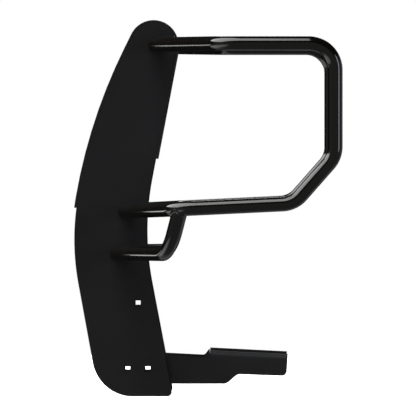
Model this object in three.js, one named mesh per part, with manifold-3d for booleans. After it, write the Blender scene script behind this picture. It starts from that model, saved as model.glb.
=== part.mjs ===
// Front grille guard for a pickup truck, in millimetres.
// +X points to the rear of the vehicle, -X to the front, +Z up, and Y = 0 is the middle of the vehicle.
import * as THREE from 'three';
import { mergeVertices } from 'three/addons/utils/BufferGeometryUtils.js';
import Module from 'manifold-3d';

const wasm = await Module();
wasm.setup();

// Driving dimensions
const CLEARANCE = 0.3;           // air left between touching pieces
const PLATE_T = 6.35;            // uprights and frame brackets, 1/4 in plate
const UPRIGHT_FACE_Y = 368;      // outboard face of each upright, from the middle
const TUBE_OD = 31.75;           // 1-1/4 in tube
const TUBE_WALL = 2.4;
const BEND_CLR = 57;             // centreline radius of every tube bend
const GUARD_Y = 809;             // centreline of the side run of each brush guard
const ROOT_STRAIGHT = 45;        // square length of tube at each root, before it sweeps back
const SHEET_T = 4.6;             // screen sheet
const SHEET_GAP = 0.4;           // sheet to upright edge
const SQUARE_HOLE = 14.2;        // for 1/2 in carriage bolts
const BOLT_R = 5;                // M10 bolts that hold the tube roots
const BOLT_HOLE_R = 5.4;

// Upright outline: corner points of its straight edges, each blended by its own radius.
const OUTLINE = [
  { x: -2.9, z: 1109.8, r: 49.3 },     // head: both long edges meet far above it
  { x: -254.1, z: 603.7, r: 1185 },    // front edge, upper sweep
  { x: -299.9, z: 338.9, r: 530 },     // front edge, nose
  { x: -237.7, z: 0, r: 88.5 },        // toe
  { x: -77.2, z: 0, r: 10.3 },         // heel
  { x: -145.9, z: 359.3, r: 610 },     // waist of the rear edge
];
const SHEET_FRONT_END_Z = 410.5;
const SHEET_REAR_END_Z = 518.5;
const SQUARE_HOLES = [
  [-154, 201.8],
  [-176.6, 58.3],
  [-132.5, 58.3],
];
const TOP_ROOT = [-115.7, 766.3];
const LOWER_ROOT = [-181, 403.5];
const BRACE_ROOT = [-198.4, 312.3];

const SLOT_LENGTH = 140;
const SLOT_WIDTH = 21;
const SLOT_PITCH_Y = 168;
const SLOT_PITCH_Z = 35;
const FRONT_SLOT_ROWS = 9;
const FRONT_SLOT_LOWEST_Z = 455;
const REAR_SLOT_ROWS = 5;
const REAR_SLOT_LOWEST_Z = 558;

// Materials
const POWDER_COAT = { color: 0x1b1c1e, roughness: 0.42, metalness: 0.35 };
const TUBE_COAT = { color: 0x141312, roughness: 0.3, metalness: 0.35 };
const BLACK_ZINC = { color: 0x2a2a2a, roughness: 0.35, metalness: 0.8 };
const ZINC = { color: 0x9a9c9c, roughness: 0.35, metalness: 0.9 };

const guard = new THREE.Group();
guard.name = 'front_grille_guard';

function addPart(name, geometry, look) {
  const mesh = new THREE.Mesh(geometry, new THREE.MeshStandardMaterial(look));
  mesh.name = name;
  guard.add(mesh);
}

// Solid modelling helpers
function toSolid(geometry) {
  let bare = geometry.clone();
  bare.deleteAttribute('normal');
  bare.deleteAttribute('uv');
  bare = mergeVertices(bare, 1e-4);
  return new wasm.Manifold(new wasm.Mesh({
    numProp: 3,
    vertProperties: new Float32Array(bare.attributes.position.array),
    triVerts: new Uint32Array(bare.index.array),
  }));
}

function toGeometry(solid) {
  const mesh = solid.getMesh();
  const geometry = new THREE.BufferGeometry();
  geometry.setAttribute('position', new THREE.BufferAttribute(mesh.vertProperties, 3));
  geometry.setIndex(new THREE.BufferAttribute(mesh.triVerts, 1));
  return geometry;
}

function cutFrom(geometry, tools) {
  let solid = toSolid(geometry);
  for (const tool of tools) {
    solid = solid.subtract(toSolid(tool));
  }
  return toGeometry(solid);
}

function joined(first, second) {
  return toGeometry(toSolid(first).add(toSolid(second)));
}

// A shape drawn in x and z, as a plate whose faces are at y = from and y = to.
function plateXZ(shape, from, to) {
  const plate = new THREE.ExtrudeGeometry(shape, { depth: to - from, bevelEnabled: false, curveSegments: 6 });
  plate.rotateX(Math.PI / 2);
  plate.translate(0, to, 0);
  return plate;
}

// The same between two distances from the middle, on the side given by -1 (left) or 1 (right).
function sidePlate(shape, side, inner, outer) {
  return plateXZ(shape, Math.min(side * inner, side * outer), Math.max(side * inner, side * outer));
}

function circle(x, y, radius, count = 16) {
  const points = [];
  for (let i = 0; i < count; i += 1) {
    const angle = (2 * Math.PI * (i + 0.5)) / count;
    points.push(new THREE.Vector2(x + radius * Math.cos(angle), y + radius * Math.sin(angle)));
  }
  return points;
}

function square(x, y, size) {
  const half = size / 2;
  const corners = [[-half, -half], [half, -half], [half, half], [-half, half]];
  return corners.map(([dx, dy]) => new THREE.Vector2(x + dx, y + dy));
}

// The points of a slot with round ends, long along x.
function slot(x, y, length, width, steps = 5) {
  const r = width / 2;
  const half = length / 2 - r;
  const points = [];
  for (const end of [1, -1]) {
    for (let i = 0; i <= steps; i += 1) {
      const angle = -Math.PI / 2 + (Math.PI * i) / steps;
      points.push(new THREE.Vector2(x + end * (half + r * Math.cos(angle)), y + end * r * Math.sin(angle)));
    }
  }
  return points;
}

// Points round a polygon whose corners are blended by arcs, each with its outward normal.
function blended(corners, stepDegrees = 9) {
  const points = [];
  corners.forEach((corner, i) => {
    const at = new THREE.Vector2(corner.x, corner.z);
    const before = corners[(i + corners.length - 1) % corners.length];
    const after = corners[(i + 1) % corners.length];
    const incoming = at.clone().sub(new THREE.Vector2(before.x, before.z)).normalize();
    const outgoing = new THREE.Vector2(after.x, after.z).sub(at).normalize();
    const turn = Math.atan2(incoming.cross(outgoing), incoming.dot(outgoing));
    const start = at.clone().addScaledVector(incoming, -corner.r * Math.tan(Math.abs(turn) / 2));
    const inward = new THREE.Vector2(-incoming.y, incoming.x).multiplyScalar(Math.sign(turn));
    const centre = start.clone().addScaledVector(inward, corner.r);
    const steps = Math.max(corner.r > 400 ? 7 : 3, Math.ceil(Math.abs(turn) / THREE.MathUtils.degToRad(stepDegrees)));
    for (let k = 0; k <= steps; k += 1) {
      const spoke = start.clone().sub(centre).rotateAround(new THREE.Vector2(), (turn * k) / steps);
      const normal = spoke.clone().normalize().multiplyScalar(Math.sign(turn));
      points.push({ at: centre.clone().add(spoke), normal });
    }
  });
  return points;
}

const outline = blended(OUTLINE);

// Uprights
for (const [word, side] of [['left', -1], ['right', 1]]) {
  const plate = sidePlate(new THREE.Shape(outline.map((p) => p.at)), side, UPRIGHT_FACE_Y - PLATE_T, UPRIGHT_FACE_Y);
  const holes = SQUARE_HOLES.map(([x, z]) => square(x, z, SQUARE_HOLE));
  holes.push(...[TOP_ROOT, LOWER_ROOT, BRACE_ROOT].map(([x, z]) => circle(x, z, BOLT_HOLE_R)));
  const tools = holes.map((points) => sidePlate(new THREE.Shape(points), side, 350, 380));
  addPart(`upright_${word}`, cutFrom(plate, tools), POWDER_COAT);
}

// Screen sheet: one formed sheet laid over the edges of both uprights, from the back of the head
// to the nose, with rows of air slots.
function crossing(a, b, z) {
  const t = (a.at.y - z) / (a.at.y - b.at.y);
  return { at: a.at.clone().lerp(b.at, t), normal: a.normal.clone().lerp(b.normal, t).normalize() };
}

const noseIndex = outline.findIndex((p) => p.at.x < -250 && p.at.y < SHEET_FRONT_END_Z);
const sheetLine = [
  crossing(outline[outline.length - 1], outline[0], SHEET_REAR_END_Z),
  ...outline.slice(0, noseIndex),
  crossing(outline[noseIndex - 1], outline[noseIndex], SHEET_FRONT_END_Z),
];

function offsetLine(line, distance) {
  return line.map((p) => p.at.clone().addScaledVector(p.normal, distance));
}

function sheetPoint(z, onFront) {
  const line = onFront ? [...sheetLine].reverse() : sheetLine;
  const above = line.findIndex((p) => p.at.y > z);
  return crossing(line[above], line[above - 1], z);
}

function airSlot(y, z, onFront) {
  const { at, normal } = sheetPoint(z, onFront);
  const depth = 24;
  const slotPoints = slot(0, 0, SLOT_LENGTH, SLOT_WIDTH);
  const tool = new THREE.ExtrudeGeometry(new THREE.Shape(slotPoints), { depth, bevelEnabled: false });
  const across = new THREE.Vector3(0, 1, 0);
  const out = new THREE.Vector3(normal.x, 0, normal.y);
  const along = out.clone().cross(across);
  tool.applyMatrix4(new THREE.Matrix4().makeBasis(across, along, out));
  const middle = SHEET_GAP + SHEET_T / 2 - depth / 2;
  tool.translate(at.x + normal.x * middle, y, at.y + normal.y * middle);
  return tool;
}

const sheetProfile = new THREE.Shape([
  ...offsetLine(sheetLine, SHEET_GAP),
  ...offsetLine(sheetLine, SHEET_GAP + SHEET_T).reverse(),
]);
const airSlots = [];
for (const onFront of [true, false]) {
  const rows = onFront ? FRONT_SLOT_ROWS : REAR_SLOT_ROWS;
  const lowest = onFront ? FRONT_SLOT_LOWEST_Z : REAR_SLOT_LOWEST_Z;
  for (let row = 0; row < rows; row += 1) {
    for (const column of [-1.5, -0.5, 0.5, 1.5]) {
      airSlots.push(airSlot(column * SLOT_PITCH_Y, lowest + row * SLOT_PITCH_Z, onFront));
    }
  }
}
const sheet = plateXZ(sheetProfile, -UPRIGHT_FACE_Y, UPRIGHT_FACE_Y);
addPart('screen_sheet', cutFrom(sheet, airSlots), POWDER_COAT);

// Bent tube: rings stand only at the ends and round each bend.
class BentTubePath extends THREE.Curve {
  constructor(corners, bendRadius) {
    super();
    this.rings = [];
    const points = corners.map((corner) => new THREE.Vector3(...corner));
    points.forEach((at, i) => {
      const incoming = i > 0 ? at.clone().sub(points[i - 1]).normalize() : null;
      const outgoing = i < points.length - 1 ? points[i + 1].clone().sub(at).normalize() : null;
      if (!incoming || !outgoing) {
        this.rings.push({ at, tangent: incoming || outgoing });
        return;
      }
      const turn = incoming.angleTo(outgoing);
      const tangentLength = bendRadius * Math.tan(turn / 2);
      const start = at.clone().addScaledVector(incoming, -tangentLength);
      const inward = outgoing.clone().addScaledVector(incoming, -incoming.dot(outgoing)).normalize();
      const steps = Math.max(2, Math.ceil(turn / THREE.MathUtils.degToRad(13)));
      for (let k = 0; k <= steps; k += 1) {
        const angle = (turn * k) / steps;
        const ring = start.clone().addScaledVector(incoming, bendRadius * Math.sin(angle));
        ring.addScaledVector(inward, bendRadius * (1 - Math.cos(angle)));
        const tangent = incoming.clone().multiplyScalar(Math.cos(angle));
        this.rings.push({ at: ring, tangent: tangent.addScaledVector(inward, Math.sin(angle)) });
      }
    });
  }

  ring(u) {
    return this.rings[Math.round(u * (this.rings.length - 1))];
  }

  getPointAt(u) {
    return this.ring(u).at.clone();
  }

  getTangentAt(u) {
    return this.ring(u).tangent.clone();
  }
}

function bentTube(corners, radius = TUBE_OD / 2, hollow = true) {
  const path = new BentTubePath(corners, BEND_CLR);
  const section = new THREE.Shape(circle(0, 0, radius, 18));
  if (hollow) section.holes.push(new THREE.Path(circle(0, 0, radius - TUBE_WALL, 14)));
  const steps = path.rings.length - 1;
  return new THREE.ExtrudeGeometry(section, { extrudePath: path, steps, bevelEnabled: false });
}

// Brush guards: one bent tube each side, from the upper root round the headlight to the lower root.
const rootY = UPRIGHT_FACE_Y + CLEARANCE;
const sweepY = UPRIGHT_FACE_Y + ROOT_STRAIGHT;

function brushGuardCorners(side) {
  return [
    [TOP_ROOT[0], side * rootY, TOP_ROOT[1]],
    [TOP_ROOT[0], side * sweepY, TOP_ROOT[1]],
    [30, side * GUARD_Y, 766.3],
    [274.9, side * GUARD_Y, 766.3],
    [274.9, side * GUARD_Y, 522.4],
    [185.7, side * GUARD_Y, 420.9],
    [-69, side * GUARD_Y, 408.8],
    [LOWER_ROOT[0], side * sweepY, LOWER_ROOT[1]],
    [LOWER_ROOT[0], side * rootY, LOWER_ROOT[1]],
  ];
}

// Brush braces: from the lowest root out and back under the guard, then up to a saddle cut where the
// guard's lower front bend is halfway round.
const RISER_LEAN = { x: -25, y: 22 };

function brace(side) {
  const lowerRun = brushGuardCorners(side).slice(5, 8).map((corner) => new THREE.Vector3(...corner));
  const [sideRun, corner, frontRun] = lowerRun;
  const incoming = corner.clone().sub(sideRun).normalize();
  const outgoing = frontRun.clone().sub(corner).normalize();
  const inward = outgoing.clone().sub(incoming).normalize();
  const cutIn = BEND_CLR * (1 / Math.cos(incoming.angleTo(outgoing) / 2) - 1);
  const joint = corner.clone().addScaledVector(inward, cutIn);
  const tube = bentTube([
    [BRACE_ROOT[0], side * rootY, BRACE_ROOT[1]],
    [BRACE_ROOT[0], side * sweepY, BRACE_ROOT[1]],
    [joint.x + RISER_LEAN.x, joint.y - side * RISER_LEAN.y, BRACE_ROOT[1]],
    joint.toArray(),
  ]);
  const saddle = bentTube(lowerRun.map((at) => at.toArray()), TUBE_OD / 2 + CLEARANCE, false);
  return cutFrom(tube, [saddle]);
}

// Root hardware, modelled on a Y axis for the right-hand side and turned round for the left.
const WASHER_T = 2;
const LOCK_WASHER_T = 2.6;
const HEAD_H = 6.4;
const HEAD_R = 9.8;
const INSERT_R = 12.8;
const INSERT_L = 28;
const THREAD_IN_INSERT = 22;
const innerFaceY = UPRIGHT_FACE_Y - PLATE_T;
const washerY = innerFaceY - CLEARANCE - WASHER_T;
const lockWasherY = washerY - CLEARANCE - LOCK_WASHER_T;
const headY = lockWasherY - CLEARANCE - HEAD_H;

function ring(outer, inner, count = 14) {
  const shape = new THREE.Shape(circle(0, 0, outer, count));
  shape.holes.push(new THREE.Path(circle(0, 0, inner, count)));
  return shape;
}

function splitRing(outer, inner) {
  const points = [];
  const steps = 14;
  for (const [radius, first, last] of [[outer, 0.12, 6.16], [inner, 6.16, 0.12]]) {
    for (let i = 0; i <= steps; i += 1) {
      const angle = first + ((last - first) * i) / steps;
      points.push(new THREE.Vector2(radius * Math.cos(angle), radius * Math.sin(angle)));
    }
  }
  return new THREE.Shape(points);
}

function bolt() {
  const head = new THREE.CylinderGeometry(HEAD_R, HEAD_R, HEAD_H, 6);
  head.translate(0, headY + HEAD_H / 2, 0);
  const from = headY + HEAD_H / 2;
  const to = rootY + THREAD_IN_INSERT;
  const shank = new THREE.CylinderGeometry(BOLT_R, BOLT_R, to - from, 14);
  shank.translate(0, (from + to) / 2, 0);
  return joined(head, shank);
}

function rootHardware() {
  return {
    insert: plateXZ(ring(INSERT_R, BOLT_HOLE_R), rootY, rootY + INSERT_L),
    bolt: bolt(),
    lock_washer: plateXZ(splitRing(8.8, 5.5), lockWasherY, lockWasherY + LOCK_WASHER_T),
    flat_washer: plateXZ(ring(11, 5.6), washerY, washerY + WASHER_T),
  };
}

// Frame brackets: a plate behind each upright whose top edge is bent inboard into a flange.
const BRACKET_INNER = UPRIGHT_FACE_Y - 2 * PLATE_T - CLEARANCE;
const BRACKET_OUTER = BRACKET_INNER + PLATE_T;
const BRACKET_WEB = [
  { x: -205, z: 94, r: 12 },
  { x: -205, z: 27.2, r: 12 },
  { x: 40, z: 27.2, r: 16 },
  { x: 64.5, z: 48.2, r: 16 },
  { x: 170.8, z: 44.3, r: 11 },
  { x: 173.9, z: 79.5, r: 0.5 },
  { x: 3, z: 87.9, r: 0.3 },
  { x: 3, z: 98.5, r: 0.5 },
  { x: -8, z: 84, r: 9 },
];
const FLANGE_START = { x: 1.7, z: 100.1 };
const FLANGE_LENGTH = 173;
const FLANGE_SLOPE = THREE.MathUtils.degToRad(2.86);
const FLANGE_WIDTH = 62;
const FLANGE_BEND_R = 12;

function frameBracket(side) {
  const webShape = new THREE.Shape(blended(BRACKET_WEB, 20).map((p) => p.at));
  const web = sidePlate(webShape, side, BRACKET_INNER, BRACKET_OUTER);
  const section = [[BRACKET_INNER, -20], [BRACKET_OUTER, -20]];
  const steps = 5;
  for (const [radius, sign] of [[FLANGE_BEND_R, 1], [FLANGE_BEND_R - PLATE_T, -1]]) {
    const arc = [];
    for (let i = 0; i <= steps; i += 1) {
      const angle = (Math.PI / 2) * (i / steps);
      const y = BRACKET_OUTER - FLANGE_BEND_R + radius * Math.cos(angle);
      arc.push([y, -FLANGE_BEND_R + radius * Math.sin(angle)]);
    }
    if (sign > 0) section.push(...arc, [BRACKET_OUTER - FLANGE_WIDTH, 0], [BRACKET_OUTER - FLANGE_WIDTH, -PLATE_T]);
    else section.push(...arc.reverse());
  }
  const profile = new THREE.Shape(section.map(([y, z]) => new THREE.Vector2(side * y, z)));
  const flange = new THREE.ExtrudeGeometry(profile, { depth: FLANGE_LENGTH, bevelEnabled: false });
  const basis = new THREE.Matrix4();
  basis.makeBasis(new THREE.Vector3(0, 1, 0), new THREE.Vector3(0, 0, 1), new THREE.Vector3(1, 0, 0));
  flange.applyMatrix4(basis);
  flange.rotateY(FLANGE_SLOPE);
  flange.translate(FLANGE_START.x, 0, FLANGE_START.z);
  const slots = SQUARE_HOLES.slice(1).map(([x, z]) => {
    return sidePlate(new THREE.Shape(slot(x, z, 30, 16, 4)), side, 340, 380);
  });
  const flangeSlots = [55, 125].map((x) => {
    const points = slot(x, side * (BRACKET_OUTER - 36), 38, 13, 4);
    const tool = new THREE.ExtrudeGeometry(new THREE.Shape(points), { depth: 40, bevelEnabled: false });
    tool.translate(0, 0, 72);
    return tool;
  });
  return cutFrom(joined(web, flange), [...slots, ...flangeSlots]);
}

for (const [word, side] of [['left', -1], ['right', 1]]) {
  addPart(`brush_guard_${word}`, bentTube(brushGuardCorners(side)), TUBE_COAT);
  addPart(`brush_brace_${word}`, brace(side), TUBE_COAT);
  addPart(`frame_bracket_${word}`, frameBracket(side), POWDER_COAT);
  for (const [root, [x, z]] of Object.entries({ upper: TOP_ROOT, lower: LOWER_ROOT, brace: BRACE_ROOT })) {
    for (const [piece, geometry] of Object.entries(rootHardware())) {
      if (side < 0) geometry.rotateZ(Math.PI);
      geometry.translate(x, 0, z);
      addPart(`${root}_${piece}_${word}`, geometry, piece === 'insert' ? ZINC : BLACK_ZINC);
    }
  }
}

// Cross channel and lower cross tube, welded between the inboard faces of the uprights.
const spanY = innerFaceY - CLEARANCE;
const CHANNEL = { front: -270, back: -222, low: 245, high: 345, t: 4.8, bend: 8 };
const channelCorners = [
  { x: CHANNEL.back, z: CHANNEL.high, r: 0.5 },
  { x: CHANNEL.front, z: CHANNEL.high, r: CHANNEL.bend },
  { x: CHANNEL.front, z: CHANNEL.low, r: CHANNEL.bend },
  { x: CHANNEL.back, z: CHANNEL.low, r: 0.5 },
  { x: CHANNEL.back, z: CHANNEL.low + CHANNEL.t, r: 0.5 },
  { x: CHANNEL.front + CHANNEL.t, z: CHANNEL.low + CHANNEL.t, r: CHANNEL.bend - CHANNEL.t },
  { x: CHANNEL.front + CHANNEL.t, z: CHANNEL.high - CHANNEL.t, r: CHANNEL.bend - CHANNEL.t },
  { x: CHANNEL.back, z: CHANNEL.high - CHANNEL.t, r: 0.5 },
];
const channelShape = new THREE.Shape(blended(channelCorners, 30).map((p) => p.at));
addPart('cross_channel', plateXZ(channelShape, -spanY, spanY), POWDER_COAT);
addPart('lower_cross_tube', bentTube([[-205, -spanY, 125], [-205, spanY, 125]]), TUBE_COAT);

export default guard;
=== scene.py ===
# Front grille guard for a pickup truck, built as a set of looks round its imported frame. Metres, +Z up,
# the front of the vehicle towards -X, and the middle of the vehicle at Y = 0.
import math
import bmesh
import bpy
from mathutils import Matrix, Vector


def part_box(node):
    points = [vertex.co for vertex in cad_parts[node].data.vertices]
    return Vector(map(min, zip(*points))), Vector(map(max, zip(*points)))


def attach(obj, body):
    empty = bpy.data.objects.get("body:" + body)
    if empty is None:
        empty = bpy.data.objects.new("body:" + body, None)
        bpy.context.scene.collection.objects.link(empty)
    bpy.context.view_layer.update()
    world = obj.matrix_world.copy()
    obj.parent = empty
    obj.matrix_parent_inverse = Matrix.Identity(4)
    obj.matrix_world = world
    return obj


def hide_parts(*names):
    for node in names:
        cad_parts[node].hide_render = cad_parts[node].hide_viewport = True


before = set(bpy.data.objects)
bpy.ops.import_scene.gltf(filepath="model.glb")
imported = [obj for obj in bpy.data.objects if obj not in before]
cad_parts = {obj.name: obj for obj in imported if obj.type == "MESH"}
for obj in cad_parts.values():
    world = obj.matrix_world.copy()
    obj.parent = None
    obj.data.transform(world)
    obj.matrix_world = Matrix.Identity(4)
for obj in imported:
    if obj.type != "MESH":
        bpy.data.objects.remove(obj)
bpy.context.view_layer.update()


# --- Uprights -------------------------------------------------------------------------------------
# Two side plates, laser cut from 1/4 in steel and powder coated satin black. Each has three square
# holes for carriage bolts and three round ones for the tube roots; the cut edges are eased slightly.
def powder_coat(name, colour, gloss, sheen):
    """Black polyester powder coat: fine orange peel, faint cloudiness and a few paler rubs."""
    material = bpy.data.materials.new(name)
    material.use_nodes = True
    nodes, links = material.node_tree.nodes, material.node_tree.links
    shader = nodes["Principled BSDF"]
    shader.inputs["Metallic"].default_value = 0.0
    shader.inputs["Specular IOR Level"].default_value = sheen
    where = nodes.new("ShaderNodeTexCoord")

    def noise(scale, detail, roughness=0.5):
        made = nodes.new("ShaderNodeTexNoise")
        made.inputs["Scale"].default_value = scale
        made.inputs["Detail"].default_value = detail
        made.inputs["Roughness"].default_value = roughness
        links.new(where.outputs["Object"], made.inputs["Vector"])
        return made.outputs["Fac"]

    def remap(source, low, high, to_low, to_high):
        made = nodes.new("ShaderNodeMapRange")
        made.inputs["From Min"].default_value = low
        made.inputs["From Max"].default_value = high
        made.inputs["To Min"].default_value = to_low
        made.inputs["To Max"].default_value = to_high
        links.new(source, made.inputs["Value"])
        return made.outputs["Result"]

    clouds = noise(7.0, 3.0)
    rubs = noise(31.0, 6.0, 0.62)
    dust = noise(520.0, 2.0)
    tint = nodes.new("ShaderNodeMix")
    tint.data_type = "RGBA"
    tint.inputs["A"].default_value = (*colour, 1.0)
    tint.inputs["B"].default_value = (*[c * 1.5 + 0.003 for c in colour], 1.0)
    links.new(remap(clouds, 0.35, 0.7, 0.0, 0.45), tint.inputs["Factor"])
    specks = nodes.new("ShaderNodeMix")
    specks.data_type = "RGBA"
    specks.inputs["B"].default_value = (0.05, 0.049, 0.047, 1.0)
    links.new(tint.outputs["Result"], specks.inputs["A"])
    links.new(remap(dust, 0.70, 0.82, 0.0, 0.35), specks.inputs["Factor"])
    links.new(specks.outputs["Result"], shader.inputs["Base Color"])
    rough = nodes.new("ShaderNodeMath")
    rough.operation = "ADD"
    links.new(remap(clouds, 0.3, 0.7, gloss - 0.03, gloss + 0.03), rough.inputs[0])
    links.new(remap(rubs, 0.60, 0.74, 0.0, 0.10), rough.inputs[1])
    links.new(rough.outputs[0], shader.inputs["Roughness"])
    peel = nodes.new("ShaderNodeBump")
    peel.inputs["Strength"].default_value = 0.04
    peel.inputs["Distance"].default_value = 0.0006
    links.new(noise(420.0, 1.5), peel.inputs["Height"])
    links.new(peel.outputs["Normal"], shader.inputs["Normal"])
    return material


plate_coat = powder_coat("plate_powder_coat", (0.0034, 0.0034, 0.0042), 0.62, 0.32)

PLATE = 0.00635
UPRIGHT_OUTLINE = [      # corner points of the straight edges from the foot of the plate, with blends
    (-0.0029, 1.1098, 0.0493),
    (-0.2541, 0.6037, 1.185),
    (-0.2999, 0.3389, 0.530),
    (-0.2377, 0.0, 0.0885),
    (-0.0772, 0.0, 0.0103),
    (-0.1459, 0.3593, 0.610),
]
SQUARE_HOLE = 0.0142
SQUARE_HOLES = [(-0.154, 0.2018), (-0.1766, 0.0583), (-0.1325, 0.0583)]
ROOT_HOLE = 0.0054


def blend_arcs(corners):
    """For each corner: where its arc starts and is centred, how far it turns, and its radius."""
    arcs = []
    for i, (x, z, radius) in enumerate(corners):
        at = Vector((x, 0, z))
        before = Vector((corners[i - 1][0], 0, corners[i - 1][1]))
        after = Vector((corners[(i + 1) % len(corners)][0], 0, corners[(i + 1) % len(corners)][1]))
        incoming, outgoing = (at - before).normalized(), (after - at).normalized()
        turn = math.atan2(incoming.x * outgoing.z - incoming.z * outgoing.x, incoming.dot(outgoing))
        start = at - incoming * radius * math.tan(abs(turn) / 2)
        side = math.copysign(1.0, turn)
        centre = start + Vector((-incoming.z, 0, incoming.x)) * side * radius
        arcs.append((start, centre, turn, radius))
    return arcs


def draw_outline(bm, corners):
    """A closed loop of edges in the plane y = 0, straight between arcs that are spun, the wide ones
    in steps of half a degree and the others in steps of three."""
    ends = []
    for start, centre, turn, radius in blend_arcs(corners):
        first = bm.verts.new(start)
        finest = 0.5 if radius > 0.4 else 3.0
        steps = max(3, math.ceil(abs(math.degrees(turn)) / finest))
        spun = bmesh.ops.spin(bm, geom=[first], cent=centre, axis=(0, -1, 0), angle=turn, steps=steps)
        ends.append((first, [v for v in spun["geom_last"] if isinstance(v, bmesh.types.BMVert)][0]))
    for (_, last), (first, _) in zip(ends, ends[1:] + ends[:1]):
        bm.edges.new((last, first))


def draw_hole(bm, x, z, radius, count=48, turn=0.0):
    """A ring of edges in the plane y = 0: round, or square with a count of 4."""
    laid = Matrix.Rotation(turn, 4, "Y") @ Matrix.Rotation(math.pi / 2, 4, "X")
    place = Matrix.Translation((x, 0, z)) @ laid
    bmesh.ops.create_circle(bm, segments=count, radius=radius, matrix=place)


def plate_from_outline(bm, low_y, high_y):
    """Fills the drawn loops, holes left open, and gives the sheet its thickness between two planes."""
    bmesh.ops.triangle_fill(bm, use_beauty=True, use_dissolve=False, edges=bm.edges[:])
    bmesh.ops.translate(bm, verts=bm.verts[:], vec=(0, low_y, 0))
    grown = bmesh.ops.extrude_face_region(bm, geom=bm.faces[:])
    lifted = [v for v in grown["geom"] if isinstance(v, bmesh.types.BMVert)]
    bmesh.ops.translate(bm, verts=lifted, vec=(0, high_y - low_y, 0))
    bmesh.ops.recalc_face_normals(bm, faces=bm.faces[:])


def finished(name, bm, material, stands_for=(), crease=30.0, ease=0.0006):
    """Turns a bmesh into a piece on the guard, smooth up to the crease angle, with eased edges."""
    for face in bm.faces:
        face.smooth = True
    for edge in bm.edges:
        if len(edge.link_faces) == 2:
            edge.smooth = edge.calc_face_angle(0.0) < math.radians(crease)
    mesh = bpy.data.meshes.new(name)
    bm.to_mesh(mesh)
    bm.free()
    mesh.materials.append(material)
    piece = bpy.data.objects.new(name, mesh)
    bpy.context.collection.objects.link(piece)
    if ease:
        bevel = piece.modifiers.new("eased_edges", "BEVEL")
        bevel.width = ease
        bevel.segments = 2
        bevel.limit_method = "ANGLE"
        bevel.angle_limit = math.radians(crease)
        bevel.harden_normals = True
    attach(piece, "root")
    if stands_for:
        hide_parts(*stands_for)
    return piece


def root_centre(root, side):
    """Middle of a tube root on the upright, from the bolt that holds it, as x and z."""
    low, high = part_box(f"{root}_bolt_{side}")
    return round((low.x + high.x) / 2, 5), round((low.z + high.z) / 2, 5)


for side in ("left", "right"):
    low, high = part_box(f"upright_{side}")
    bm = bmesh.new()
    draw_outline(bm, UPRIGHT_OUTLINE)
    for x, z in SQUARE_HOLES:
        draw_hole(bm, x, z, SQUARE_HOLE / math.sqrt(2), count=4, turn=math.pi / 4)
    for root in ("upper", "lower", "brace"):
        draw_hole(bm, *root_centre(root, side), ROOT_HOLE)
    plate_from_outline(bm, low.y, high.y)
    finished(f"upright_plate_{side}", bm, plate_coat, [f"upright_{side}"])


# --- Screen sheet ---------------------------------------------------------------------------------
# One sheet of 4.6 mm steel, punched with rows of round-ended air slots while flat, then rolled over
# the edges of both uprights and stitch welded to them from the inside. Its side edges lie flush.
SHEET = 0.0046
SHEET_GAP = 0.0004               # between the sheet and the edge it wraps
SHEET_REAR_Z, SHEET_FRONT_Z = 0.5185, 0.4105   # heights of its two ends
SLOT_LENGTH, SLOT_WIDTH = 0.140, 0.021
SLOT_PITCH_Y, SLOT_PITCH_Z = 0.168, 0.035


def edge_line(corners, from_z, to_z):
    """Points along the edge of an upright, with outward normals, from up its rear edge, over the
    head and down the front, each with its distance along the sheet."""
    line = []
    for start, centre, turn, radius in blend_arcs(corners):
        steps = max(6, math.ceil(abs(math.degrees(turn)) / 2.5))
        for k in range(steps + 1):
            spoke = Matrix.Rotation(-turn * k / steps, 3, "Y") @ (start - centre)
            line.append((centre + spoke, spoke.normalized() * math.copysign(1.0, turn)))

    def crossing(a, b, z):
        share = (z - a[0].z) / (b[0].z - a[0].z)
        return a[0].lerp(b[0], share), a[1].lerp(b[1], share).normalized()

    nose = next(i for i, (at, _) in enumerate(line) if at.x < -0.25 and at.z < to_z)
    kept = [crossing(line[-1], line[0], from_z), *line[:nose]]
    kept.append(crossing(line[nose - 1], line[nose], to_z))
    travelled, measured = 0.0, []
    for i, (at, normal) in enumerate(kept):
        travelled += (at - kept[i - 1][0]).length if i else 0.0
        if not measured or travelled - measured[-1][0] > 1e-5:
            measured.append((travelled, at, normal))
    return measured


def stand_off(line, distance, lift):
    """The point a distance along an edge line, lifted off the edge, and the outward normal there."""
    after = next((i for i in range(1, len(line)) if line[i][0] >= distance), len(line) - 1)
    a, b = line[after - 1], line[after]
    share = (distance - a[0]) / (b[0] - a[0])
    return (a[1] + a[2] * lift).lerp(b[1] + b[2] * lift, share), a[2].lerp(b[2], share).normalized()


def draw_slot(bm, place, length, width):
    """A closed loop of edges in the X and Y of a place: a slot with round ends, long along that Y."""
    reach = (length - width) / 2
    ends = []
    for way in (1, -1):
        first = bm.verts.new(place @ Vector((way * width / 2, way * reach, 0)))
        spun = bmesh.ops.spin(bm, geom=[first], cent=place @ Vector((0, way * reach, 0)),
                              axis=place.to_3x3() @ Vector((0, 0, 1)), angle=math.pi, steps=10)
        ends.append((first, [x for x in spun["geom_last"] if isinstance(x, bmesh.types.BMVert)][0]))
    bm.edges.new((ends[0][1], ends[1][0]))
    bm.edges.new((ends[1][1], ends[0][0]))


def blank_cell(bm, across, along, slotted):
    """One rectangle of the flat blank, between two x and between two y, with or without its slot."""
    corners = [bm.verts.new((across[i], along[j], 0)) for i, j in ((0, 0), (1, 0), (1, 1), (0, 1))]
    if not slotted:
        bm.faces.new(corners)
        return
    before = set(bm.edges)
    for pair in zip(corners, corners[1:] + corners[:1]):
        bm.edges.new(pair)
    draw_slot(bm, Matrix.Translation((sum(across) / 2, sum(along) / 2, 0)), SLOT_LENGTH, SLOT_WIDTH)
    bmesh.ops.triangle_fill(bm, use_beauty=True, use_dissolve=False,
                            edges=[edge for edge in bm.edges if edge not in before])


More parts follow.
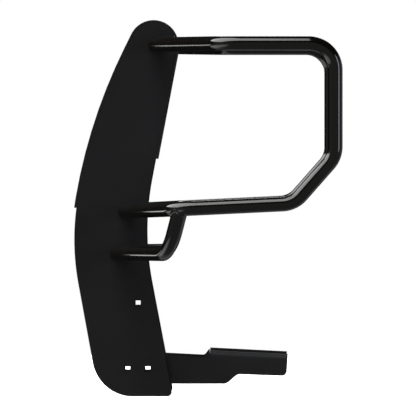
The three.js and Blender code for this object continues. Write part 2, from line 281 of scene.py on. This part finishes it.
def formed_sheet(bm, bends, thickness, place):
    """Creases a flat blank in the plane z = 0 square to x at every bend, makes it as thick as it is,
    and moves each point to place(x, y, depth)."""
    bmesh.ops.remove_doubles(bm, verts=bm.verts[:], dist=1e-6)
    bmesh.ops.recalc_face_normals(bm, faces=bm.faces[:])
    for x in bends:
        bmesh.ops.bisect_plane(bm, geom=bm.verts[:] + bm.edges[:] + bm.faces[:], dist=1e-7,
                               plane_co=(x, 0, 0), plane_no=(1, 0, 0))
    grown = bmesh.ops.extrude_face_region(bm, geom=bm.faces[:])
    lifted = [v for v in grown["geom"] if isinstance(v, bmesh.types.BMVert)]
    bmesh.ops.translate(bm, verts=lifted, vec=(0, 0, thickness))
    for v in bm.verts:
        v.co = place(*v.co)
    bmesh.ops.recalc_face_normals(bm, faces=bm.faces[:])


SHEET_LINE = edge_line(UPRIGHT_OUTLINE, SHEET_REAR_Z, SHEET_FRONT_Z)
SHEET_REACH = SHEET_LINE[-1][0]
sheet_side = round(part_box("screen_sheet")[1].y, 5)


def distance_at(z, on_front):
    """How far along the sheet it stands at a height, on its front face or its rear one."""
    line = list(reversed(SHEET_LINE)) if on_front else SHEET_LINE
    i = next(i for i, (_, at, _) in enumerate(line) if at.z > z)
    (d0, a, _), (d1, b, _) = line[i - 1], line[i]
    return d0 + (d1 - d0) * (z - a.z) / (b.z - a.z)


slot_rows = ((True, 0.455, 9), (False, 0.558, 5))   # on the front or not, lowest height, count
rows = sorted(distance_at(lowest + row * SLOT_PITCH_Z, on_front)
              for on_front, lowest, count in slot_rows for row in range(count))
columns = [-sheet_side, *[k * SLOT_PITCH_Y for k in (-2, -1, 0, 1, 2)], sheet_side]
bm = bmesh.new()
half_band = SLOT_WIDTH * 0.8     # the blank is filled in bands, one round each row and one between
bands = [(0.0, rows[0] - SLOT_WIDTH, False)]
for row in rows:
    if row - half_band > bands[-1][1] + 1e-6:
        bands.append((bands[-1][1], row - half_band, False))
    bands.append((bands[-1][1], 2 * row - bands[-1][1], True))
bands.append((bands[-1][1], SHEET_REACH, False))
for start, end, slotted in bands:
    for k, along in enumerate(zip(columns, columns[1:])):
        blank_cell(bm, (start, end), along, slotted and 0 < k < len(columns) - 2)


def onto_uprights(distance, y, depth):
    at, _ = stand_off(SHEET_LINE, distance, SHEET_GAP + depth)
    return at.x, y, at.z


formed_sheet(bm, [d for d, _, _ in SHEET_LINE[1:-1]], SHEET, onto_uprights)
finished("screen_panel", bm, plate_coat, ["screen_sheet"], ease=0.0007)


# --- Brush guards ---------------------------------------------------------------------------------
# One length of 1-1/4 in steel tube each side, mandrel bent round the headlight, with a threaded
# insert welded into each end. Its powder coat is the glossier, slightly warmer black of the tubes.
TUBE_R, TUBE_WALL = 0.031750 / 2, 0.0024
BEND = 0.057                     # radius of the centreline
ROOT_BEND_Y, GUARD_Y = 0.413, 0.809   # where the guard turns outward, and how far out it runs
GUARD_REAR_X = 0.2749
END_GAP = 0.0003                 # between a tube's end and the upright
tube_coat = powder_coat("tube_powder_coat", (0.0026, 0.0022, 0.0016), 0.12, 0.5)


def bent_tube(bm, corners, sides=56):
    """The outer skin of a bent tube: a ring extruded along each straight and spun round each bend.
    Returns the ring it ends in."""
    points = [Vector(corner) for corner in corners]
    along = (points[1] - points[0]).normalized()
    stand = Matrix.Translation(points[0]) @ along.to_track_quat("Z", "Y").to_matrix().to_4x4()
    ring = bmesh.ops.create_circle(bm, segments=sides, radius=TUBE_R, matrix=stand)["verts"]
    edges = [e for e in bm.edges if e.verts[0] in ring and e.verts[1] in ring]
    at = points[0]
    for i, corner in enumerate(points[1:], 1):
        outgoing = (points[i + 1] - corner).normalized() if i + 1 < len(points) else along
        turn = along.angle(outgoing, 0.0)
        stop = corner - along * BEND * math.tan(turn / 2)
        grown = bmesh.ops.extrude_edge_only(bm, edges=edges)["geom"]
        ring = [g for g in grown if isinstance(g, bmesh.types.BMVert)]
        edges = [g for g in grown if isinstance(g, bmesh.types.BMEdge)]
        bmesh.ops.translate(bm, verts=ring, vec=stop - at)
        at = stop
        if turn > 1e-4:
            inward = (outgoing - along * along.dot(outgoing)).normalized()
            spun = bmesh.ops.spin(bm, geom=ring + edges, cent=stop + inward * BEND,
                                  axis=along.cross(outgoing).normalized(), angle=turn,
                                  steps=max(4, math.ceil(math.degrees(turn) / 3)))["geom_last"]
            ring = [g for g in spun if isinstance(g, bmesh.types.BMVert)]
            edges = [g for g in spun if isinstance(g, bmesh.types.BMEdge)]
            at = corner + outgoing * BEND * math.tan(turn / 2)
            along = outgoing
    return ring


def tube_piece(name, bm, node):
    """Finishes a tube skin as a piece with its real wall, standing for its CAD node."""
    bmesh.ops.recalc_face_normals(bm, faces=bm.faces[:])
    tube = finished(name, bm, tube_coat, [node], ease=0)
    wall = tube.modifiers.new("tube_wall", "SOLIDIFY")
    wall.thickness = TUBE_WALL
    wall.offset = -1.0
    wall.use_even_offset = True
    easing = tube.modifiers.new("eased_ends", "BEVEL")
    easing.width = 0.0004
    easing.segments = 2
    easing.limit_method = "ANGLE"
    easing.angle_limit = math.radians(50)
    return tube


def guard_corners(side):
    """Corners of the brush guard's centreline, from the upper root round to the lower one."""
    way = -1 if side == "left" else 1
    upper_x, upper_z = root_centre("upper", side)
    lower_x, lower_z = root_centre("lower", side)
    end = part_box(f"upright_{side}")[0 if side == "left" else 1].y + way * END_GAP
    out, beside = way * ROOT_BEND_Y, way * GUARD_Y
    return [
        (upper_x, end, upper_z),
        (upper_x, out, upper_z),
        (0.030, beside, upper_z),
        (GUARD_REAR_X, beside, upper_z),
        (GUARD_REAR_X, beside, 0.5224),
        (0.1857, beside, 0.4209),
        (-0.069, beside, 0.4088),
        (lower_x, out, lower_z),
        (lower_x, end, lower_z),
    ]


for side in ("left", "right"):
    bm = bmesh.new()
    bent_tube(bm, guard_corners(side))
    tube_piece(f"guard_tube_{side}", bm, f"brush_guard_{side}")


# --- Brush braces ---------------------------------------------------------------------------------
# The same tube again, from the lowest root out and back under the brush guard, then up to it. Its
# end is cut to a saddle and MIG welded all round, before coating, with a rippled bead.
def weld_bead(bm, stations, closed=False, pitch=0.0030):
    """Lays a bead through stations, each the root of the joint, the way to both its toes, and the way
    out of the corner. Ripples follow each other a pitch apart."""
    sections, travelled = [], 0.0
    for i, (root, to_a, to_b, out) in enumerate(stations):
        travelled += (root - stations[i - 1][0]).length if i else 0.0
        swell = 0.12 + 0.10 * abs(math.sin(math.pi * travelled / pitch))
        bulge = out * (to_a.length + to_b.length) * 0.5 * swell
        section = [root - out * 0.0002, root + to_a]
        for share in (0.2, 0.4, 0.6, 0.8):
            section.append(root + to_a * (1 - share) + to_b * share + bulge * 4 * share * (1 - share))
        section.append(root + to_b)
        sections.append(section)
    if closed:
        sections.append(sections[0])
    around = len(sections[0])
    grid = bmesh.ops.create_grid(bm, x_segments=len(sections) - 1, y_segments=around, size=1.0)["verts"]
    for i, v in enumerate(grid):
        row, column = divmod(i, len(sections))
        v.co = sections[column][row % around]
    bmesh.ops.remove_doubles(bm, verts=grid, dist=1e-7)
    if not closed:
        bmesh.ops.holes_fill(bm, edges=[e for e in bm.edges if e.is_boundary], sides=0)
    bmesh.ops.recalc_face_normals(bm, faces=bm.faces[:])


def off_guard(point, before, corner, after):
    """How far a point stands off the skin of a tube bent at a corner, and the way out from its axis."""
    incoming, outgoing = (corner - before).normalized(), (after - corner).normalized()
    turn = incoming.angle(outgoing)
    back = BEND * math.tan(turn / 2)
    inward = (outgoing - incoming).normalized()
    hub = corner + inward * BEND / math.cos(turn / 2)
    nearest = hub + (point - hub - (point - hub).project(incoming.cross(outgoing))).normalized() * BEND
    if (point - corner + incoming * back).dot(incoming) < 0:
        nearest = corner + incoming * (point - corner).dot(incoming)
    elif (point - corner - outgoing * back).dot(outgoing) > 0:
        nearest = corner + outgoing * (point - corner).dot(outgoing)
    return (point - nearest).length - TUBE_R, (point - nearest).normalized()


def saddle_depth(spoke, along, joint, lower_run):
    """How far back from the joint, along the brace, its skin meets the skin of the guard."""
    near, far = -0.060, 0.0
    for _ in range(30):
        middle = (near + far) / 2
        if off_guard(joint + spoke + along * middle, *lower_run)[0] > END_GAP:
            near = middle
        else:
            far = middle
    return near


BRACE_WELD = 0.0036              # leg of the bead
SUNK = 0.0001                    # its toes lie this far under the skin, so no light gets in
RISER_BACK, RISER_IN = 0.025, 0.022   # the elbow's place from the joint
for side in ("left", "right"):
    way = -1 if side == "left" else 1
    lower_run = [Vector(corner) for corner in guard_corners(side)[5:8]]
    back, ahead = (lower_run[0] - lower_run[1]).normalized(), (lower_run[2] - lower_run[1]).normalized()
    half_turn = (math.pi - back.angle(ahead)) / 2
    joint = lower_run[1] + (back + ahead).normalized() * BEND * (1 / math.cos(half_turn) - 1)
    x, z = root_centre("brace", side)
    end_y = guard_corners(side)[0][1]
    elbow = Vector((joint.x - RISER_BACK, joint.y - way * RISER_IN, z))
    riser = (joint - elbow).normalized()
    bm = bmesh.new()
    last = bent_tube(bm, [(x, end_y, z), (x, way * ROOT_BEND_Y, z), elbow, joint])
    for v in last:
        v.co += riser * saddle_depth(v.co - joint, riser, joint, lower_run)
    tube_piece(f"brace_tube_{side}", bm, f"brush_brace_{side}")

    count = 132
    across = riser.orthogonal().normalized()
    roots, spokes = [], []
    for k in range(count):
        spoke = Matrix.Rotation(2 * math.pi * k / count, 3, riser) @ across * TUBE_R
        roots.append(joint + spoke + riser * saddle_depth(spoke, riser, joint, lower_run))
        spokes.append(spoke.normalized())
    stations = []
    for k, (root, spoke) in enumerate(zip(roots, spokes)):
        tangent = (roots[(k + 1) % count] - roots[k - 1]).normalized()
        off_axis = off_guard(root, *lower_run)[1]
        to_brace = spoke.cross(tangent).normalized()
        to_guard = off_axis.cross(tangent).normalized()
        to_brace *= math.copysign(1.0, -to_brace.dot(riser))
        to_guard *= math.copysign(1.0, to_guard.dot(spoke + riser))
        toe = root + to_guard * BRACE_WELD
        lift, off_axis_there = off_guard(toe, *lower_run)
        toe -= off_axis_there * (lift + SUNK)
        stations.append((root, to_brace * BRACE_WELD - spoke * SUNK, toe - root,
                         (spoke + off_axis).normalized()))
    bm = bmesh.new()
    weld_bead(bm, stations, closed=True)
    finished(f"brace_weld_{side}", bm, tube_coat, ease=0, crease=60)


# --- Frame brackets -------------------------------------------------------------------------------
# Behind each upright, a laser cut 1/4 in plate whose top edge is press-braked inboard into a flange
# that bolts up to the vehicle's frame. Slots leave room to level the guard.
BRACKET_BEND = 0.012             # outside radius
FLANGE_SLOPE = math.radians(2.86)
FLANGE_WIDTH = 0.062
FLANGE_LENGTH = 0.1699
WEB_SLOT, FLANGE_SLOT = (0.030, 0.016), (0.038, 0.013)   # length and width
FLANGE_SLOT_X, FLANGE_SLOT_IN = (0.055, 0.125), 0.036
flat_bend = (BRACKET_BEND - PLATE / 2) * math.pi / 2
flange_along = Vector((math.cos(FLANGE_SLOPE), 0, -math.sin(FLANGE_SLOPE)))
flange_up = Vector((math.sin(FLANGE_SLOPE), 0, math.cos(FLANGE_SLOPE)))


def lying_along(middle, along):
    """The place of a slot cut through a plate in the plane y = 0, long along a direction in it."""
    through = Vector((0, 1, 0))
    turned = Matrix((along.cross(through), along, through)).transposed()
    return Matrix.Translation(middle) @ turned.to_4x4()


def bracket_outline():
    """Corners of the flat blank: the web, with the developed bend and flange standing on its top."""
    top_front = Vector((0.0042, 0, 0.1001 - 0.0025 * math.tan(FLANGE_SLOPE)))
    fold_front = top_front - flange_up * BRACKET_BEND
    fold_rear = fold_front + flange_along * FLANGE_LENGTH
    rise = flange_up * (flat_bend + FLANGE_WIDTH - BRACKET_BEND)
    corners = [
        (-0.205, 0.094, 0.012),
        (-0.205, 0.0272, 0.012),
        (0.040, 0.0272, 0.016),
        (0.0645, 0.0482, 0.016),
        (0.1708, 0.0443, 0.011),
    ]
    for point, radius in ((fold_rear, 0.0005), (fold_rear + rise, 0.006), (fold_front + rise, 0.006),
                          (fold_front, 0.0003)):
        corners.append((point.x, point.z, radius))
    corners += [(0.0030, fold_front.z, 0.0003), (0.0030, 0.0985, 0.0008), (-0.008, 0.084, 0.009)]
    return corners, fold_front


FOLD_START_X = 0.0036            # the relief cut in front of the fold ends here

for side in ("left", "right"):
    way = -1 if side == "left" else 1
    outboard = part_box(f"frame_bracket_{side}")[0 if side == "left" else 1].y
    corners, fold = bracket_outline()
    bm = bmesh.new()
    draw_outline(bm, corners)
    for x, z in SQUARE_HOLES[1:]:
        draw_slot(bm, lying_along(Vector((x, 0, z)), Vector((1, 0, 0))), *WEB_SLOT)
    for u in FLANGE_SLOT_X:
        middle = fold + flange_along * (u - fold.x)
        middle += flange_up * (flat_bend + FLANGE_SLOT_IN - BRACKET_BEND)
        draw_slot(bm, lying_along(middle, flange_along), *FLANGE_SLOT)
    bmesh.ops.triangle_fill(bm, use_beauty=True, use_dissolve=False, edges=bm.edges[:])
    for k in range(9):
        bmesh.ops.bisect_plane(bm, geom=bm.verts[:] + bm.edges[:] + bm.faces[:], dist=1e-7,
                               plane_co=fold + flange_up * flat_bend * k / 8, plane_no=flange_up)
    grown = bmesh.ops.extrude_face_region(bm, geom=bm.faces[:])
    inboard = {v for v in grown["geom"] if isinstance(v, bmesh.types.BMVert)}
    for v in bm.verts:
        depth = PLATE if v in inboard else 0.0
        height = (v.co - fold).dot(flange_up)
        if v.co.x < FOLD_START_X or height < 1e-6:
            v.co.y = way * (abs(outboard) - depth)
            continue
        along = (v.co - fold).dot(flange_along)
        swing = min(height / flat_bend, 1.0) * math.pi / 2
        radius = BRACKET_BEND - depth
        risen = fold + flange_along * along + flange_up * radius * math.sin(swing)
        inset = BRACKET_BEND - radius * math.cos(swing) + max(height - flat_bend, 0.0)
        v.co = (risen.x, way * (abs(outboard) - inset), risen.z)
    bmesh.ops.recalc_face_normals(bm, faces=bm.faces[:])
    finished(f"frame_bracket_plate_{side}", bm, plate_coat, [f"frame_bracket_{side}"])


# --- Cross channel --------------------------------------------------------------------------------
# A length of 4.8 mm steel folded to a channel, open to the rear, that keeps the uprights apart behind
# the nose. Each end is fillet welded to its upright along the outside of the fold.
CHANNEL_T, CHANNEL_BEND = 0.0048, 0.008
CHANNEL_WELD, WELD_STEP = 0.0052, 0.0008   # leg of the bead, and how finely it is laid
low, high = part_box("cross_channel")
front, back = low.x, high.x
bm = bmesh.new()
draw_outline(bm, [
    (back, high.z, 0.0005),
    (front, high.z, CHANNEL_BEND),
    (front, low.z, CHANNEL_BEND),
    (back, low.z, 0.0005),
    (back, low.z + CHANNEL_T, 0.0005),
    (front + CHANNEL_T, low.z + CHANNEL_T, CHANNEL_BEND - CHANNEL_T),
    (front + CHANNEL_T, high.z - CHANNEL_T, CHANNEL_BEND - CHANNEL_T),
    (back, high.z - CHANNEL_T, 0.0005),
])
plate_from_outline(bm, low.y, high.y)
finished("cross_channel_fold", bm, plate_coat, ["cross_channel"], ease=0.0004)

bm = bmesh.new()
for way in (-1, 1):
    outer = [(back - 0.004, high.z), (front + CHANNEL_BEND, high.z)]
    for k in range(1, 12):
        swing = math.pi / 2 * k / 12
        outer.append((front + CHANNEL_BEND * (1 - math.sin(swing)),
                      high.z - CHANNEL_BEND * (1 - math.cos(swing))))
    outer.append((front, high.z - CHANNEL_BEND))
    mirrored = [(x, high.z + low.z - z) for x, z in reversed(outer)]
    path = [Vector((x, way * abs(high.y), z)) for x, z in outer + mirrored]
    stations = []
    for i, at in enumerate(path):
        ahead = path[min(i + 1, len(path) - 1)] - path[max(i - 1, 0)]
        away = Vector((ahead.z, 0, -ahead.x)).normalized()
        away *= math.copysign(1.0, away.dot(at - Vector((back, at.y, (high.z + low.z) / 2))))
        gap = path[i + 1] - at if i + 1 < len(path) else Vector()
        parts = max(1, round(gap.length / WELD_STEP))
        for k in range(parts):
            root = at + gap * k / parts
            from_end = min((root - path[0]).length, (root - path[-1]).length)
            size = CHANNEL_WELD * min(1.0, 0.35 + from_end / 0.006)
            stations.append((root, Vector((0, -way, 0)) * size, away * size,
                             (away - Vector((0, way, 0))).normalized()))
    weld_bead(bm, stations)
finished("cross_channel_welds", bm, plate_coat, ease=0, crease=60)


# --- Lower cross tube -----------------------------------------------------------------------------
# Straight 1-1/4 in tube between the feet of the uprights, square cut and welded all round.
bm = bmesh.new()
low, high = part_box("lower_cross_tube")
middle = (low + high) / 2
TUBE_WELD = 0.005                # leg of the bead
bent_tube(bm, [(middle.x, low.y, middle.z), (middle.x, high.y, middle.z)])
tube_piece("lower_tube", bm, "lower_cross_tube")

bm = bmesh.new()
for way in (-1, 1):
    stations = []
    for k in range(120):
        away = Matrix.Rotation(2 * math.pi * k / 120, 3, "Y") @ Vector((1, 0, 0))
        root = Vector((middle.x, way * high.y, middle.z)) + away * TUBE_R
        stations.append((root, Vector((0, -way, 0)) * TUBE_WELD, away * TUBE_WELD,
                         (away - Vector((0, way, 0))).normalized()))
    weld_bead(bm, stations, closed=True)
finished("lower_tube_welds", bm, tube_coat, ease=0, crease=60)


# --- Stitch welds ---------------------------------------------------------------------------------
# Short fillet beads in the corner between the inside of the screen sheet and each upright, laid a
# hand's breadth apart so that the sheet doesn't draw, and coated over with everything else.
STITCH_LENGTH, STITCH_LEG = 0.034, 0.0050
STITCHES_AT = [0.045, 0.150, 0.225] + [SHEET_REACH - 0.040 - 0.105 * k for k in range(4)]
bm = bmesh.new()
inner_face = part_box("upright_left")[1].y
for way in (-1, 1):
    for middle_at in STITCHES_AT:
        stations = []
        for k in range(41):
            share = k / 40
            at, normal = stand_off(SHEET_LINE, middle_at + STITCH_LENGTH * (share - 0.5), SHEET_GAP)
            size = STITCH_LEG * min(1.0, 0.3 + 6 * min(share, 1 - share))
            inward = Vector((0, -way, 0))
            stations.append((Vector((at.x, way * abs(inner_face), at.z)), -normal * size, inward * size,
                             (inward - normal).normalized()))
        weld_bead(bm, stations)
finished("screen_stitch_welds", bm, plate_coat, ease=0, crease=60)


# --- Root hardware --------------------------------------------------------------------------------
# Each tube root has a zinc plated steel insert welded inside it, and is drawn up to the upright by an
# M10 hex bolt in black oxide from inboard, over a split lock washer and a flat washer.
def machined_steel(name, colour, gloss, grain):
    """Bare or thinly plated steel: metallic, with fine turning marks and a little handling dullness."""
    material = bpy.data.materials.new(name)
    material.use_nodes = True
    nodes, links = material.node_tree.nodes, material.node_tree.links
    shader = nodes["Principled BSDF"]
    shader.inputs["Metallic"].default_value = 1.0
    where = nodes.new("ShaderNodeTexCoord")
    dull = nodes.new("ShaderNodeTexNoise")
    dull.inputs["Scale"].default_value = 140.0
    dull.inputs["Detail"].default_value = 5.0
    links.new(where.outputs["Object"], dull.inputs["Vector"])
    rough = nodes.new("ShaderNodeMapRange")
    rough.inputs["From Min"].default_value = 0.3
    rough.inputs["From Max"].default_value = 0.7
    rough.inputs["To Min"].default_value = gloss - 0.06
    rough.inputs["To Max"].default_value = gloss + 0.10
    links.new(dull.outputs["Fac"], rough.inputs["Value"])
    links.new(rough.outputs["Result"], shader.inputs["Roughness"])
    tint = nodes.new("ShaderNodeMix")
    tint.data_type = "RGBA"
    tint.inputs["A"].default_value = (*colour, 1.0)
    tint.inputs["B"].default_value = (*[c * 0.62 for c in colour], 1.0)
    links.new(dull.outputs["Fac"], tint.inputs["Factor"])
    links.new(tint.outputs["Result"], shader.inputs["Base Color"])
    marks = nodes.new("ShaderNodeTexWave")
    marks.bands_direction = "Y"
    marks.inputs["Scale"].default_value = grain
    marks.inputs["Distortion"].default_value = 3.0
    links.new(where.outputs["Object"], marks.inputs["Vector"])
    bump = nodes.new("ShaderNodeBump")
    bump.inputs["Strength"].default_value = 0.08
    bump.inputs["Distance"].default_value = 0.0002
    links.new(marks.outputs["Fac"], bump.inputs["Height"])
    links.new(bump.outputs["Normal"], shader.inputs["Normal"])
    return material


black_oxide = machined_steel("black_oxide_steel", (0.030, 0.030, 0.032), 0.34, 260.0)
bright_zinc = machined_steel("zinc_plated_steel", (0.52, 0.53, 0.54), 0.30, 200.0)


def turned_part(bm, profile, x, z, steps=64):
    """Spins a closed profile of (radius, y) points round a Y axis through x and z."""
    verts = [bm.verts.new((x + radius, y, z)) for radius, y in profile]
    edges = [bm.edges.new(pair) for pair in zip(verts, verts[1:] + verts[:1])]
    bmesh.ops.spin(bm, geom=verts + edges, cent=(x, 0, z), axis=(0, 1, 0), angle=2 * math.pi,
                   steps=steps, use_merge=True)
    bmesh.ops.recalc_face_normals(bm, faces=bm.faces[:])


def hex_radius(angle, across_flats):
    """Distance from the axis to a hexagon's side, its corners up and down."""
    folded = (angle + math.pi / 6) % (math.pi / 3) - math.pi / 6
    return across_flats / 2 / math.cos(math.pi / 6 - abs(folded))


HEAD_HEIGHT, ACROSS_FLATS = 0.0064, 0.01695
THREAD_R = 0.0050
WASHER_LEAN = 0.0005             # left by the split when the lock washer is drawn nearly flat
WASHER_SPLIT = 0.13              # radians

for side in ("left", "right"):
    way = -1 if side == "left" else 1
    for root in ("upper", "lower", "brace"):
        x, z = root_centre(root, side)

        near, far = sorted(abs(corner.y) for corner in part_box(f"{root}_insert_{side}"))
        bm = bmesh.new()
        turned_part(bm, [(r, way * y) for r, y in (
            (0.0061, near), (0.0122, near), (0.0128, near + 0.0006), (0.0128, far - 0.0008),
            (0.0120, far), (0.0061, far), (0.0054, far - 0.0007), (0.0054, near + 0.0007))], x, z)
        finished(f"{root}_threaded_insert_{side}", bm, bright_zinc,
                 [f"{root}_insert_{side}"], ease=0)

        near, far = sorted(abs(corner.y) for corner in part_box(f"{root}_flat_washer_{side}"))
        bm = bmesh.new()
        turned_part(bm, [(r, way * y) for r, y in (
            (0.0058, near), (0.0106, near), (0.0110, near + 0.0004), (0.0110, far), (0.0056, far),
            (0.0056, near + 0.0002))], x, z)
        finished(f"{root}_plain_washer_{side}", bm, black_oxide,
                 [f"{root}_flat_washer_{side}"], ease=0)

        near, far = sorted(abs(corner.y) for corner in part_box(f"{root}_lock_washer_{side}"))
        bm = bmesh.new()
        drawn = far - WASHER_LEAN
        section = [(0.0055, near), (0.0088, near), (0.0088, drawn), (0.0055, drawn)]
        verts = [bm.verts.new((x + radius, way * y, z)) for radius, y in section]
        edges = [bm.edges.new(pair) for pair in zip(verts, verts[1:] + verts[:1])]
        bmesh.ops.spin(bm, geom=verts + edges, cent=(x, 0, z), axis=(0, 1, 0),
                       angle=2 * math.pi - WASHER_SPLIT, dvec=(0, way * WASHER_LEAN / 60, 0), steps=60)
        bmesh.ops.holes_fill(bm, edges=[e for e in bm.edges if e.is_boundary], sides=0)
        bmesh.ops.recalc_face_normals(bm, faces=bm.faces[:])
        finished(f"{root}_split_washer_{side}", bm, black_oxide,
                 [f"{root}_lock_washer_{side}"], ease=0.0002)

        top, tip = sorted(abs(corner.y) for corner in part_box(f"{root}_bolt_{side}"))
        seat = top + HEAD_HEIGHT
        collar, crown = ACROSS_FLATS / 2 - 0.0002, ACROSS_FLATS / 2 - 0.0004
        rings = [("round", 0.0036, tip), ("round", THREAD_R, tip - 0.0015), ("round", THREAD_R, seat),
                 ("round", collar, seat), ("round", collar, seat - 0.0005),
                 ("hex", ACROSS_FLATS, seat - 0.0006), ("hex", ACROSS_FLATS, None),
                 ("round", crown, top)]
        bm = bmesh.new()
        count = 72
        grid = bmesh.ops.create_grid(bm, x_segments=len(rings) - 1, y_segments=count, size=1.0)["verts"]
        for i, v in enumerate(grid):
            turn, ring = divmod(i, len(rings))
            angle = 2 * math.pi * (turn % count) / count
            kind, size, y = rings[ring]
            radius = hex_radius(angle, size) if kind == "hex" else size
            if y is None:
                y = top + max(radius - crown, 0.0) * math.tan(math.radians(30))
            v.co = (x + radius * math.sin(angle), way * y, z + radius * math.cos(angle))
        bmesh.ops.remove_doubles(bm, verts=grid, dist=1e-7)
        bmesh.ops.holes_fill(bm, edges=[e for e in bm.edges if e.is_boundary], sides=0)
        bmesh.ops.recalc_face_normals(bm, faces=bm.faces[:])
        finished(f"{root}_hex_bolt_{side}", bm, black_oxide, [f"{root}_bolt_{side}"],
                 ease=0, crease=25)


# --- Studio ---------------------------------------------------------------------------------------
# The guard stands on its own feet on a pale floor. A tall softbox stands at its rear quarter and a dim
# one fills the far side; the key light and the weak glows around are panels painted in the air.
def softbox(name, at, aim, width, height, power, colour=(1, 1, 1)):
    """A soft rectangular lamp at a point, turned to face another."""
    lamp = bpy.data.lights.new(name, "AREA")
    lamp.shape = "RECTANGLE"
    lamp.size, lamp.size_y = width, height
    lamp.energy = power
    lamp.color = colour
    holder = bpy.data.objects.new(name, lamp)
    holder.location = at
    holder.rotation_euler = (Vector(aim) - Vector(at)).to_track_quat("-Z", "Y").to_euler()
    holder.visible_camera = False
    bpy.context.collection.objects.link(holder)
    return holder


softbox("rear_quarter_strip", (2.9, -2.3, 1.1), (0.27, -0.8, 0.6), 0.75, 2.0, 26.0, (0.80, 0.87, 1.0))
softbox("far_fill", (0.4, 3.6, 2.6), (0, 0.3, 0.4), 1.6, 0.8, 14.0)

floor_mesh = bpy.data.meshes.new("studio_floor")
bm = bmesh.new()
bmesh.ops.create_grid(bm, x_segments=1, y_segments=1, size=9.0)
bm.to_mesh(floor_mesh)
bm.free()
floor = bpy.data.objects.new("studio_floor", floor_mesh)
floor.visible_glossy = False
floor.visible_diffuse = False
bpy.context.collection.objects.link(floor)
pale = bpy.data.materials.new("pale_floor")
pale.use_nodes = True
paper = pale.node_tree.nodes["Principled BSDF"]
paper.inputs["Base Color"].default_value = (0.8, 0.8, 0.8, 1.0)
paper.inputs["Roughness"].default_value = 0.9
paper.inputs["Specular IOR Level"].default_value = 0.0
# Painted light: the floor glows by its own emission, 0.62 near the middle rising to 1.0 at 2.6 m out, in
# place of lamp light that falls off, so it reads white
paper.inputs["Emission Color"].default_value = (1.0, 1.0, 1.0, 1.0)
spot = pale.node_tree.nodes.new("ShaderNodeTexCoord")
spread = pale.node_tree.nodes.new("ShaderNodeVectorMath")
spread.operation = "LENGTH"
painted_floor_glow = pale.node_tree.nodes.new("ShaderNodeMapRange")
painted_floor_glow.inputs["From Min"].default_value = 0.3
painted_floor_glow.inputs["From Max"].default_value = 2.6
painted_floor_glow.inputs["To Min"].default_value = 0.62
painted_floor_glow.inputs["To Max"].default_value = 1.0
pale.node_tree.links.new(spot.outputs["Object"], spread.inputs[0])
pale.node_tree.links.new(spread.outputs["Value"], painted_floor_glow.inputs["Value"])
pale.node_tree.links.new(painted_floor_glow.outputs["Result"], paper.inputs["Emission Strength"])
floor_mesh.materials.append(pale)

world = bpy.data.worlds.new("studio_air")
bpy.context.scene.world = world
world.use_nodes = True
air_nodes, air_links = world.node_tree.nodes, world.node_tree.links
air = air_nodes["Background"]
heading = air_nodes.new("ShaderNodeSeparateXYZ")
air_links.new(air_nodes.new("ShaderNodeTexCoord").outputs["Generated"], heading.inputs[0])


def ramp(source, start, end):
    """Rises smoothly from 0 to 1 as a direction's X, Y or Z, or a number made from them, goes from
    start to end."""
    made = air_nodes.new("ShaderNodeMapRange")
    made.interpolation_type = "SMOOTHSTEP"
    made.inputs["From Min"].default_value = start
    made.inputs["From Max"].default_value = end
    air_links.new(heading.outputs[source] if isinstance(source, str) else source, made.inputs["Value"])
    return made.outputs["Result"]


def combine(operation, *levels):
    """Folds levels together with one arithmetic operation."""
    total = levels[0]
    for level in levels[1:]:
        made = air_nodes.new("ShaderNodeMath")
        made.operation = operation
        for socket, value in zip(made.inputs, (total, level)):
            if isinstance(value, (int, float)):
                socket.default_value = value
            else:
                air_links.new(value, socket)
        total = made.outputs[0]
    return total


x, y, z = (heading.outputs[axis] for axis in "XYZ")
# The overhead panel, the low glows in front, below and behind, and two panels low at the front that
# light the tubes as they sweep out. Strengths are the last number in each.
overhead = combine("MULTIPLY", ramp(combine("DIVIDE", y, z), -1.02, -0.94), ramp("Z", 0.30, 0.36),
                   ramp(combine("DIVIDE", combine("ADD", x, y), z), -0.08, -0.16),
                   ramp("X", 0.035, 0.015), 5.5)
front_glow = combine("MULTIPLY", ramp("Y", 0.35, 0.0), ramp("Z", 0.42, 0.20), 0.22)
under_glow = combine("MULTIPLY", ramp("Y", 0.0, 0.45), ramp("Z", -0.40, -0.60), 0.42)
rear_glow = combine("MULTIPLY", ramp("X", 0.50, 0.75), ramp("Y", 0.0, 0.5), ramp("Z", 0.5, 0.2), 0.5)
horizon_strip = combine("MULTIPLY", ramp("Z", -0.185, -0.165), ramp("Z", -0.095, -0.115),
                        ramp("X", -0.30, -0.45), ramp("Y", 0.45, 0.60), 1.9)
low_side_glow = combine("MULTIPLY", ramp("X", -0.55, -0.80), ramp("Z", -0.22, -0.34),
                        ramp("Z", -0.85, -0.65), 1.5)
studio_level = combine("ADD", overhead, front_glow, under_glow, rear_glow, horizon_strip, low_side_glow,
                       0.012)
to_eye = air_nodes.new("ShaderNodeLightPath").outputs["Is Camera Ray"]
air_links.new(combine("MAXIMUM", studio_level, to_eye), air.inputs["Strength"])
air.inputs["Color"].default_value = (1.0, 1.0, 1.0, 1.0)

# A long lens from far off, square to the left side but for a hair above and to the rear.
camera = bpy.data.objects.new("camera", bpy.data.cameras.new("camera"))
camera.data.lens = 1700.0
camera.data.sensor_width = 36.0
camera.data.clip_start = 1.0
camera.data.clip_end = 120.0
aim = Vector((0.0, -0.45, 0.4106))
camera.location = aim + Vector((0.047, -42.73, 0.0934))
camera.rotation_euler = (aim - camera.location).to_track_quat("-Z", "Y").to_euler()
bpy.context.collection.objects.link(camera)
bpy.context.scene.camera = camera
bpy.context.scene.view_settings.view_transform = "Standard"
